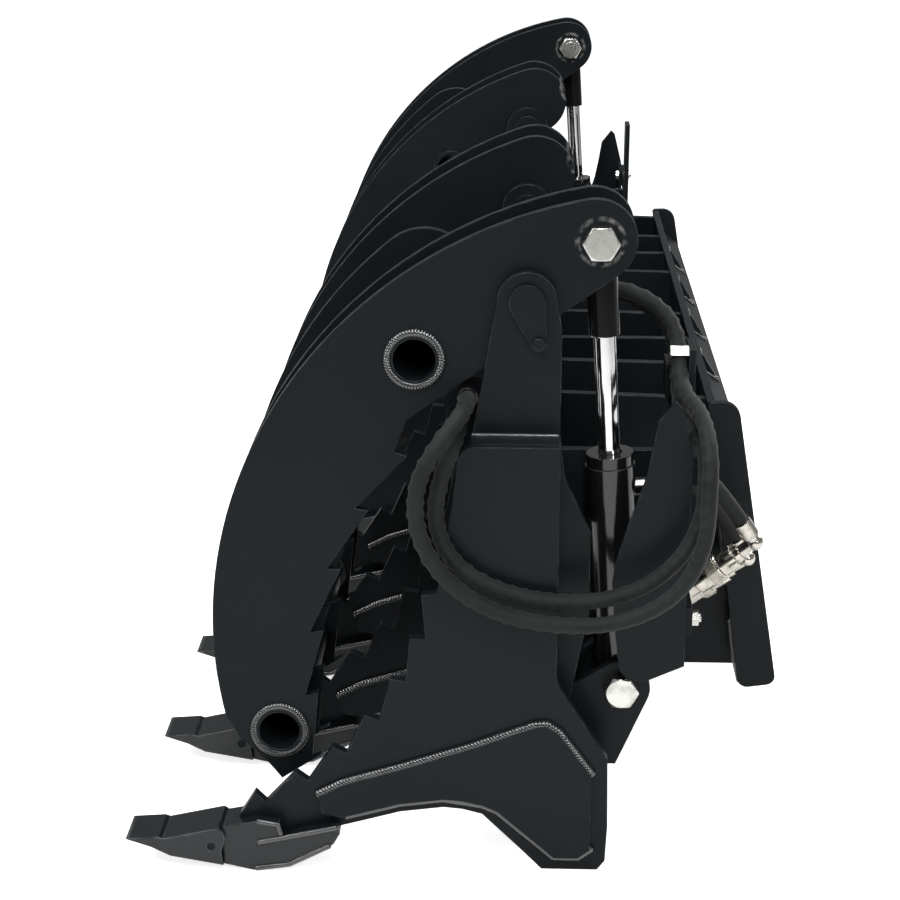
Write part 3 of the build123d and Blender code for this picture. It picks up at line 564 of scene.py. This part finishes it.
def even_spacing(points: list[Vector], step: float) -> list[Vector]:
    """Respace a line.

    Args:
        points: The line as it came.
        step: The wanted distance between points.

    Returns:
        The same line with even points.
    """
    reach = [0.0]
    for first, second in zip(points, points[1:]):
        reach.append(reach[-1] + (second - first).length)
    count = max(2, round(reach[-1] / step))
    placed, at = [], 0
    for i in range(count + 1):
        want = reach[-1] * i / count
        while at < len(reach) - 2 and reach[at + 1] < want:
            at += 1
        span = max(reach[at + 1] - reach[at], 1e-9)
        placed.append(points[at].lerp(points[at + 1], (want - reach[at]) / span))
    return placed


def wrap_tube(
    name: str, line: list[Vector], radius_at: Callable[[float, float], float], sides: int,
) -> bpy.types.Object:
    """Make a closed tube round a line, with a map that runs round and along it in metres.

    Args:
        name: The piece's name.
        line: Its centreline.
        radius_at: Gives the radius from the distance along and the angle.
        sides: How many faces go round it.

    Returns:
        The tube.
    """
    shell = bmesh.new()
    uv = shell.loops.layers.uv.new("UVMap")
    frames = ring_frames(line)
    along, rings = 0.0, []
    for i, (point, (side, up)) in enumerate(zip(line, frames)):
        along += (point - line[i - 1]).length if i else 0.0
        ring = []
        for k in range(sides):
            angle = 2 * math.pi * k / sides
            reach = radius_at(along, angle)
            ring.append(shell.verts.new(point + (side * math.cos(angle) + up * math.sin(angle)) * reach))
        rings.append((ring, along))
    girth = 2 * math.pi * radius_at(0.0, 0.0)
    for (lower, low_at), (upper, high_at) in zip(rings, rings[1:]):
        for k in range(sides):
            nxt = (k + 1) % sides
            face = shell.faces.new((lower[k], lower[nxt], upper[nxt], upper[k]))
            face.smooth = True
            corners = ((k, low_at), (k + 1, low_at), (k + 1, high_at), (k, high_at))
            for loop, (turn, at) in zip(face.loops, corners):
                loop[uv].uv = (girth * turn / sides, at)
    shell.faces.new(list(reversed(rings[0][0])))
    shell.faces.new(rings[-1][0])
    bmesh.ops.recalc_face_normals(shell, faces=shell.faces)
    mesh = bpy.data.meshes.new(name)
    shell.to_mesh(mesh)
    shell.free()
    tube = bpy.data.objects.new(name, mesh)
    bpy.context.scene.collection.objects.link(tube)
    return tube


@dataclass
class WeldBead:
    """A run of overlapping weld ripples along a line."""

    name: str
    path: list[Point]
    width: float = 0.009
    pitch_share: float = 0.3
    ripple_length: float = 0.66
    segments: int = 8
    rings: int = 6

    def build(self, material: bpy.types.Material, body: str) -> bpy.types.Object:
        """Model one ripple and repeat it along the line.

        Args:
            material: The bead's finish.
            body: What it rides on.

        Returns:
            The bead.
        """
        curve = bpy.data.curves.new(f"{self.name}_run", "CURVE")
        curve.dimensions = "3D"
        spline = curve.splines.new("POLY")
        spline.points.add(len(self.path) - 1)
        for point, place in zip(spline.points, self.path):
            point.co = (*place, 1.0)
        run = bpy.data.objects.new(f"{self.name}_run", curve)
        bpy.context.scene.collection.objects.link(run)
        bpy.ops.object.select_all(action="DESELECT")
        bpy.ops.mesh.primitive_uv_sphere_add(
            segments=self.segments, ring_count=self.rings, radius=self.width / 2,
        )
        bead = bpy.context.active_object
        bead.name = self.name
        bpy.ops.object.mode_set(mode="EDIT")
        bpy.ops.mesh.select_all(action="SELECT")
        bpy.ops.transform.resize(value=(self.ripple_length, 1.0, 1.0))
        bpy.ops.object.mode_set(mode="OBJECT")
        bpy.ops.object.shade_smooth()
        repeat = bead.modifiers.new("repeat", "ARRAY")
        repeat.fit_type = "FIT_CURVE"
        repeat.curve = run
        repeat.use_relative_offset = False
        repeat.use_constant_offset = True
        repeat.constant_offset_displace = (self.width * self.pitch_share, 0.0, 0.0)
        follow = bead.modifiers.new("follow", "CURVE")
        follow.object = run
        select_only(bead)
        for modifier in ("repeat", "follow"):
            bpy.ops.object.modifier_apply(modifier=modifier)
        bpy.data.objects.remove(run)
        dress(bead, material, body)
        return bead


@dataclass
class Rake:
    """The rake's weld beads."""

    half: float = 0.9145
    plate: float = 0.012
    tine_count: int = 8
    doubler_edge: list[Flat] = field(default_factory=lambda: [
        (-0.178, 0.094), (-0.148, 0.110), (-0.084, 0.130), (0.0, 0.159), (0.071, 0.187), (0.086, 0.189),
        (0.100, 0.179), (0.138, 0.126),
    ])
    doubler_foot: list[Flat] = field(default_factory=lambda: [
        (0.138, 0.030), (0.124, 0.019), (0.096, 0.019), (0.030, 0.078), (0.012, 0.086), (-0.033, 0.093),
        (-0.084, 0.086), (-0.150, 0.067),
    ])
    adapter_runs: tuple = (
        ((-0.166, 0.034), (-0.213, 0.009), (-0.252, 0.003)),
        ((-0.158, 0.058), (-0.214, 0.045), (-0.250, 0.037)),
        ((-0.222, 0.049), (-0.225, 0.061), (-0.250, 0.065)),
    )
    adapter_half: float = 0.022
    cap_z: float = 0.522
    cap_y: Flat = (-0.002, 0.0945)
    cap_x: float = 0.8732
    stand_off: float = 0.0015
    doubler_bead: float = 0.013
    small_bead: float = 0.007

    def tine_faces(self) -> list[tuple[str, float]]:
        """The outer face of each tine, with a name for it."""
        pitch = (2 * self.half - self.plate) / (self.tine_count - 1)
        faces = []
        for i in range(self.tine_count // 2):
            x = self.half - pitch * i
            faces += [(f"r{i}", x), (f"l{i}", -x)]
        return faces

    def build(self, finishes: Finishes) -> None:
        """Lay the beads on the doublers, adapters and caps.

        Args:
            finishes: The grapple's materials.
        """
        for name, x in self.tine_faces():
            outwards = 1 if x > 0 else -1
            for label, edge in (("doubler", self.doubler_edge), ("heel", self.doubler_foot)):
                path = [(x + self.stand_off * outwards, y, z) for y, z in edge]
                bead = WeldBead(f"{label}_bead_{name}", path, width=self.doubler_bead)
                bead.build(finishes.weld_paint, "frame")
            for number, run in enumerate(self.adapter_runs):
                side = x - outwards * self.plate / 2 + outwards * self.adapter_half
                path = [(side, y, z) for y, z in run]
                bead = WeldBead(f"adapter_bead_{name}_{number}", path, width=self.small_bead)
                bead.build(finishes.weld_paint, "frame")
        for side, sign in (("right", 1), ("left", -1)):
            path = [(self.cap_x * sign, y, self.cap_z) for y in self.cap_y]
            bead = WeldBead(f"cap_bead_{side}", path, width=self.small_bead)
            bead.build(finishes.weld_paint, "frame")


@dataclass
class Jaw:
    """One jaw's weld beads."""

    side: str
    sign: int
    pivot: Flat
    upper_pipe: Flat = (-0.124, -0.070)
    lower_pipe: Flat = (-0.286, -0.528)
    pipe_radius: float = 0.0305
    faces: tuple[float, ...] = (0.8585, 0.3694)
    bead: float = 0.011
    steps: int = 48

    def build(self, finishes: Finishes) -> None:
        """Lay a bead round each pipe where it leaves the outer face of a plate.

        Args:
            finishes: The grapple's materials.
        """
        for number, x in enumerate(self.faces):
            for label, at in (("upper", self.upper_pipe), ("lower", self.lower_pipe)):
                path = []
                for k in range(self.steps + 1):
                    angle = 2 * math.pi * k / self.steps
                    y = self.pivot[0] + at[0] + self.pipe_radius * math.cos(angle)
                    z = self.pivot[1] + at[1] + self.pipe_radius * math.sin(angle)
                    path.append((x * self.sign, y, z))
                bead = WeldBead(f"{label}_pipe_bead_{self.side}_{number}", path, width=self.bead)
                bead.build(finishes.weld_paint, f"jaw_{self.side}")


@dataclass
class Mount:
    """Weld beads on the quick-attach mount."""

    top: Flat = (0.286, 0.472)
    tilt: float = math.radians(8.0)
    gusset_x: tuple[float, ...] = (-0.315, -0.105, 0.105, 0.315)
    end_x: float = 0.581
    gusset_side: float = 0.0045
    gusset_run: tuple[Flat, ...] = ((0.008, 0.0105), (0.034, 0.0105), (0.056, 0.033))
    gusset_bead: float = 0.006
    end_starts: tuple[float, ...] = (0.02, 0.16, 0.30)
    end_run: float = 0.06
    end_back: float = -0.001
    end_bead: float = 0.007

    def at(self, x: float, down: float, back: float) -> Point:
        """A point from the mount's top front edge, down its face and back from it."""
        y = self.top[0] + down * math.sin(self.tilt) + back * math.cos(self.tilt)
        z = self.top[1] - down * math.cos(self.tilt) + back * math.sin(self.tilt)
        return (x, y, z)

    def build(self, finishes: Finishes) -> None:
        """Lay the beads beside the gussets and along the end plates.

        Args:
            finishes: The grapple's materials.
        """
        for number, x in enumerate(self.gusset_x):
            for side, offset in (("a", -self.gusset_side), ("b", self.gusset_side)):
                path = [self.at(x + offset, down, back) for down, back in self.gusset_run]
                bead = WeldBead(f"gusset_bead_{number}_{side}", path, width=self.gusset_bead)
                bead.build(finishes.weld_paint, "frame")
        for side, sign in (("right", 1), ("left", -1)):
            x = self.end_x * sign
            for start in self.end_starts:
                path = [self.at(x, down, self.end_back) for down in (start, start + self.end_run)]
                bead = WeldBead(f"end_bead_{side}_{round(start * 100)}", path, width=self.end_bead)
                bead.build(finishes.weld_paint, "frame")


@dataclass
class Couplers:
    """Knurled rings and hexagons on the two quick couplers."""

    ends: tuple = (
        ((0.700, 0.294, 0.398), (0.688, 0.322, 0.354), (-0.12, -0.75, -0.65)),
        ((0.636, 0.300, 0.350), (0.622, 0.324, 0.306), (0.0, -0.83, -0.56)),
    )
    crimp: float = 0.024
    elbow: float = 0.013
    branch: float = 0.022
    ring_radius: float = 0.0176
    ring_reach: Flat = (0.033, 0.048)
    flutes: int = 36
    flute_inset: float = 0.00035
    flute_height: float = 0.0007
    hex_radius: float = 0.0168
    hex_depth: float = 0.012
    hex_chamfer: float = 0.0012
    hex_reach: float = 0.014

    def build(self, finishes: Finishes) -> list[bpy.types.Object]:
        """Model the rings on both couplers.

        Args:
            finishes: The grapple's materials.

        Returns:
            The pieces for each coupler, in order.
        """
        pieces = []
        for number, (before, end, toward) in enumerate(self.ends):
            way = (Vector(end) - Vector(before)).normalized()
            out = Vector(toward).normalized()
            foot = Vector(end) + way * (self.crimp + self.elbow) + out * self.branch
            ring = self.knurled_ring(f"coupler_knurl_{number + 1}", foot, out)
            dress(ring, finishes.nickel, "frame")
            nut = self.hexagon(f"coupler_hex_{number + 1}", foot, out)
            dress(nut, finishes.nickel, "frame")
            pieces.append((ring, nut))
        return pieces

    def place(self, piece: bpy.types.Object, centre: Vector, out: Vector) -> None:
        """Turn a piece modelled along Z to the coupler's line, with its place in its mesh."""
        turn = Vector((0.0, 0.0, 1.0)).rotation_difference(out).to_matrix().to_4x4()
        turn.translation = centre
        piece.data.transform(turn)
        piece.data.update()

    def knurled_ring(self, name: str, foot: Vector, out: Vector) -> bpy.types.Object:
        """A sliding ring with flutes cut along it."""
        low, high = self.ring_reach
        bpy.ops.object.select_all(action="DESELECT")
        bpy.ops.mesh.primitive_cylinder_add(
            vertices=self.flutes * 2, radius=self.ring_radius, depth=high - low,
        )
        ring = bpy.context.active_object
        ring.name = name
        bpy.ops.object.mode_set(mode="EDIT")
        bpy.ops.mesh.select_all(action="DESELECT")
        body = bmesh.from_edit_mesh(ring.data)
        for face in body.faces:
            face.select_set(abs(face.normal.z) < 0.5)
        bmesh.update_edit_mesh(ring.data)
        bpy.ops.mesh.inset(thickness=self.flute_inset, depth=self.flute_height, use_individual=True)
        bpy.ops.object.mode_set(mode="OBJECT")
        self.place(ring, foot + out * (low + high) / 2, out)
        return ring

    def hexagon(self, name: str, foot: Vector, out: Vector) -> bpy.types.Object:
        """The wrench hexagon where the coupler screws on its elbow."""
        bpy.ops.object.select_all(action="DESELECT")
        bpy.ops.mesh.primitive_cylinder_add(vertices=6, radius=self.hex_radius, depth=self.hex_depth)
        nut = bpy.context.active_object
        nut.name = name
        bpy.ops.object.mode_set(mode="EDIT")
        bpy.ops.mesh.select_all(action="SELECT")
        bpy.ops.mesh.bevel(offset=self.hex_chamfer, segments=2)
        bpy.ops.object.mode_set(mode="OBJECT")
        self.place(nut, foot + out * self.hex_reach, out)
        return nut


@dataclass
class Hoses:
    """The four hoses, on the routes that the CAD model gives them."""

    feed_pucker: float = 0.0002

    outer_loop: list[Point] = field(default_factory=lambda: [
        (0.858, -0.008, 0.561), (0.904, -0.008, 0.561), (0.942, -0.034, 0.540), (0.950, -0.062, 0.492),
        (0.949, -0.062, 0.436), (0.948, -0.036, 0.384), (0.947, 0.016, 0.342), (0.946, 0.092, 0.324),
        (0.946, 0.166, 0.328), (0.944, 0.226, 0.360), (0.939, 0.255, 0.414), (0.932, 0.258, 0.472),
        (0.916, 0.259, 0.518), (0.868, 0.252, 0.550), (0.799, 0.2315, 0.5546), (0.7534, 0.2315, 0.6154),
        (0.738, 0.196, 0.648), (0.730, 0.146, 0.660), (0.725, 0.092, 0.648), (0.724, 0.042, 0.606),
        (0.724, 0.042, 0.536),
    ])
    inner_loop: list[Point] = field(default_factory=lambda: [
        (0.858, -0.017, 0.536), (0.888, -0.017, 0.536), (0.916, -0.023, 0.521), (0.931, -0.035, 0.493),
        (0.930, -0.043, 0.444), (0.929, -0.028, 0.398), (0.928, 0.014, 0.364), (0.927, 0.072, 0.347),
        (0.927, 0.134, 0.345), (0.926, 0.190, 0.362), (0.922, 0.230, 0.396), (0.916, 0.252, 0.440),
        (0.908, 0.255, 0.474), (0.884, 0.256, 0.512), (0.846, 0.244, 0.528), (0.791, 0.2315, 0.5302),
        (0.734, 0.2315, 0.6062), (0.714, 0.192, 0.638), (0.704, 0.142, 0.648), (0.700, 0.088, 0.634),
        (0.700, 0.042, 0.596), (0.700, 0.042, 0.536),
    ])
    upper_feed: list[Point] = field(default_factory=lambda: [
        (0.732, 0.235, 0.520), (0.732, 0.235, 0.478), (0.720, 0.256, 0.438), (0.700, 0.294, 0.398),
        (0.688, 0.322, 0.354),
    ])
    lower_feed: list[Point] = field(default_factory=lambda: [
        (0.708, 0.235, 0.520), (0.708, 0.235, 0.472), (0.698, 0.244, 0.428), (0.667, 0.268, 0.390),
        (0.636, 0.300, 0.350), (0.622, 0.324, 0.306),
    ])

    def build(self, finishes: Finishes, couplers: list, nodes: dict) -> None:
        """Make the hoses.

        Args:
            finishes: The grapple's materials.
            couplers: The pieces on the upper and the lower feed hose.
            nodes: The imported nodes.
        """
        Hose("outer_loop_hose", self.outer_loop, 1.194, "object").build(finishes.sleeve)
        Hose("inner_loop_hose", self.inner_loop, 1.066, "object").build(finishes.sleeve)
        upper = (nodes["couplers"], *couplers[0])
        for name, route, length, pieces in (
            ("upper_feed_hose", self.upper_feed, 0.200, upper),
            ("lower_feed_hose", self.lower_feed, 0.259, couplers[1]),
        ):
            hose = Hose(name, route, length, "connector", pucker=self.feed_pucker)
            hose.build(finishes.sleeve, with_pieces=pieces)


@dataclass
class Studio:
    """Floor, lamps, world and camera."""

    floor_size: float = 60.0
    floor_glow: float = 0.8
    sky: float = 0.25
    camera_at: Point = (2.9278, 0.0513, 1.2078)
    camera_yaw: float = math.radians(2.18)
    camera_pitch: float = math.radians(18.88)
    lens: float = 78.0
    sensor: float = 36.0
    floor_drop: float = 0.0005
    floor_grey: float = 0.9
    lamp_target: Point = (0.2, 0.0, 0.4)

    def build(self) -> None:
        """Make all of it."""
        self.make_camera()
        self.make_floor()
        self.make_world()
        self.make_lamps()
        bpy.context.scene.view_settings.view_transform = "Standard"

    def make_camera(self) -> None:
        """Put the camera where the photograph was taken from."""
        data = bpy.data.cameras.new("camera")
        data.lens = self.lens
        data.sensor_width = self.sensor
        camera = bpy.data.objects.new("camera", data)
        level = -math.cos(self.camera_pitch)
        ahead = Vector((
            level * math.cos(self.camera_yaw),
            level * math.sin(self.camera_yaw),
            -math.sin(self.camera_pitch),
        ))
        camera.location = self.camera_at
        camera.rotation_euler = ahead.to_track_quat("-Z", "Y").to_euler()
        bpy.context.scene.collection.objects.link(camera)
        bpy.context.scene.camera = camera

    def make_floor(self) -> None:
        """A wide pale floor that the camera sees as nearly white, with the object's shadow on it."""
        bpy.ops.object.select_all(action="DESELECT")
        bpy.ops.mesh.primitive_plane_add(size=self.floor_size, location=(0.0, 0.0, -self.floor_drop))
        floor = bpy.context.active_object
        floor.name = "floor"
        material = bpy.data.materials.new("pale_floor")
        material.use_nodes = True
        tree = Tree(material.node_tree)
        shader = material.node_tree.nodes["Principled BSDF"]
        shader.inputs["Base Color"].default_value = (self.floor_grey, self.floor_grey, self.floor_grey, 1.0)
        shader.inputs["Roughness"].default_value = 0.9
        shader.inputs["Specular IOR Level"].default_value = 0.1
        seen = tree.add("ShaderNodeLightPath").outputs["Is Camera Ray"]
        glow = tree.math("MULTIPLY", seen, self.floor_glow)
        shader.inputs["Emission Color"].default_value = (1.0, 1.0, 1.0, 1.0)
        tree.tree.links.new(glow, shader.inputs["Emission Strength"])
        floor.data.materials.append(material)

    def make_world(self) -> None:
        """White to the camera, soft grey light for the object."""
        world = bpy.data.worlds.new("studio")
        world.use_nodes = True
        bpy.context.scene.world = world
        tree = Tree(world.node_tree)
        back = world.node_tree.nodes["Background"]
        back.inputs["Color"].default_value = (1.0, 1.0, 1.0, 1.0)
        seen = tree.add("ShaderNodeLightPath").outputs["Is Camera Ray"]
        tree.tree.links.new(tree.ramp(seen, 0.0, 1.0, self.sky, 1.0), back.inputs["Strength"])

    def make_lamps(self) -> None:
        """Long narrow lamps above, for glints on the welds, and soft ones in front, behind and low down."""
        lamps = (
            ("key", (2.2, -1.9, 2.6), 40.0, (0.4, 0.8)),
            ("strip", (2.0, 0.1, 3.2), 76.0, (0.25, 3.4)),
            ("inner_strip", (0.3, -0.6, 3.3), 56.0, (0.25, 3.0)),
            ("rim", (-1.6, 2.6, 2.2), 60.0, (0.8, 0.8)),
            ("low", (3.0, 1.6, 1.6), 14.0, (0.3, 0.6)),
        )
        for name, place, power, size in lamps:
            data = bpy.data.lights.new(name, "AREA")
            data.energy = power
            data.shape = "RECTANGLE"
            data.size, data.size_y = size
            lamp = bpy.data.objects.new(name, data)
            lamp.location = place
            toward = Vector(self.lamp_target) - Vector(place)
            lamp.rotation_euler = toward.to_track_quat("-Z", "Y").to_euler()
            bpy.context.scene.collection.objects.link(lamp)


def joint_place(frame: dict, name: str) -> Flat:
    """The side-view place of a hinge."""
    joint = next(joint for joint in frame["joints"] if joint["name"] == name)
    return (joint["pos_m"][1], joint["pos_m"][2])


def main() -> None:
    """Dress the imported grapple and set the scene."""
    logging.basicConfig(level=logging.INFO, format="%(message)s")
    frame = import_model()
    Studio().build()
    pivot = joint_place(frame, "jaw_right_hinge")
    low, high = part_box("rod_pin_right")
    ear = ((low.y + high.y) / 2, (low.z + high.z) / 2)
    finishes = Finishes(ear)
    couplers = Couplers().build(finishes)
    Hoses().build(finishes, couplers, frame["nodes"])
    slots = {part["node"]: part["material_slot"] for part in frame["record"]["subparts"]}
    for name, node in frame["nodes"].items():
        node.data.materials.clear()
        node.data.materials.append(finishes.for_node(name, slots[name]))
    for side, sign in (("right", 1), ("left", -1)):
        Jaw(side, sign, pivot).build(finishes)
    Rake().build(finishes)
    Mount().build(finishes)


if __name__ == "__main__":
    main()
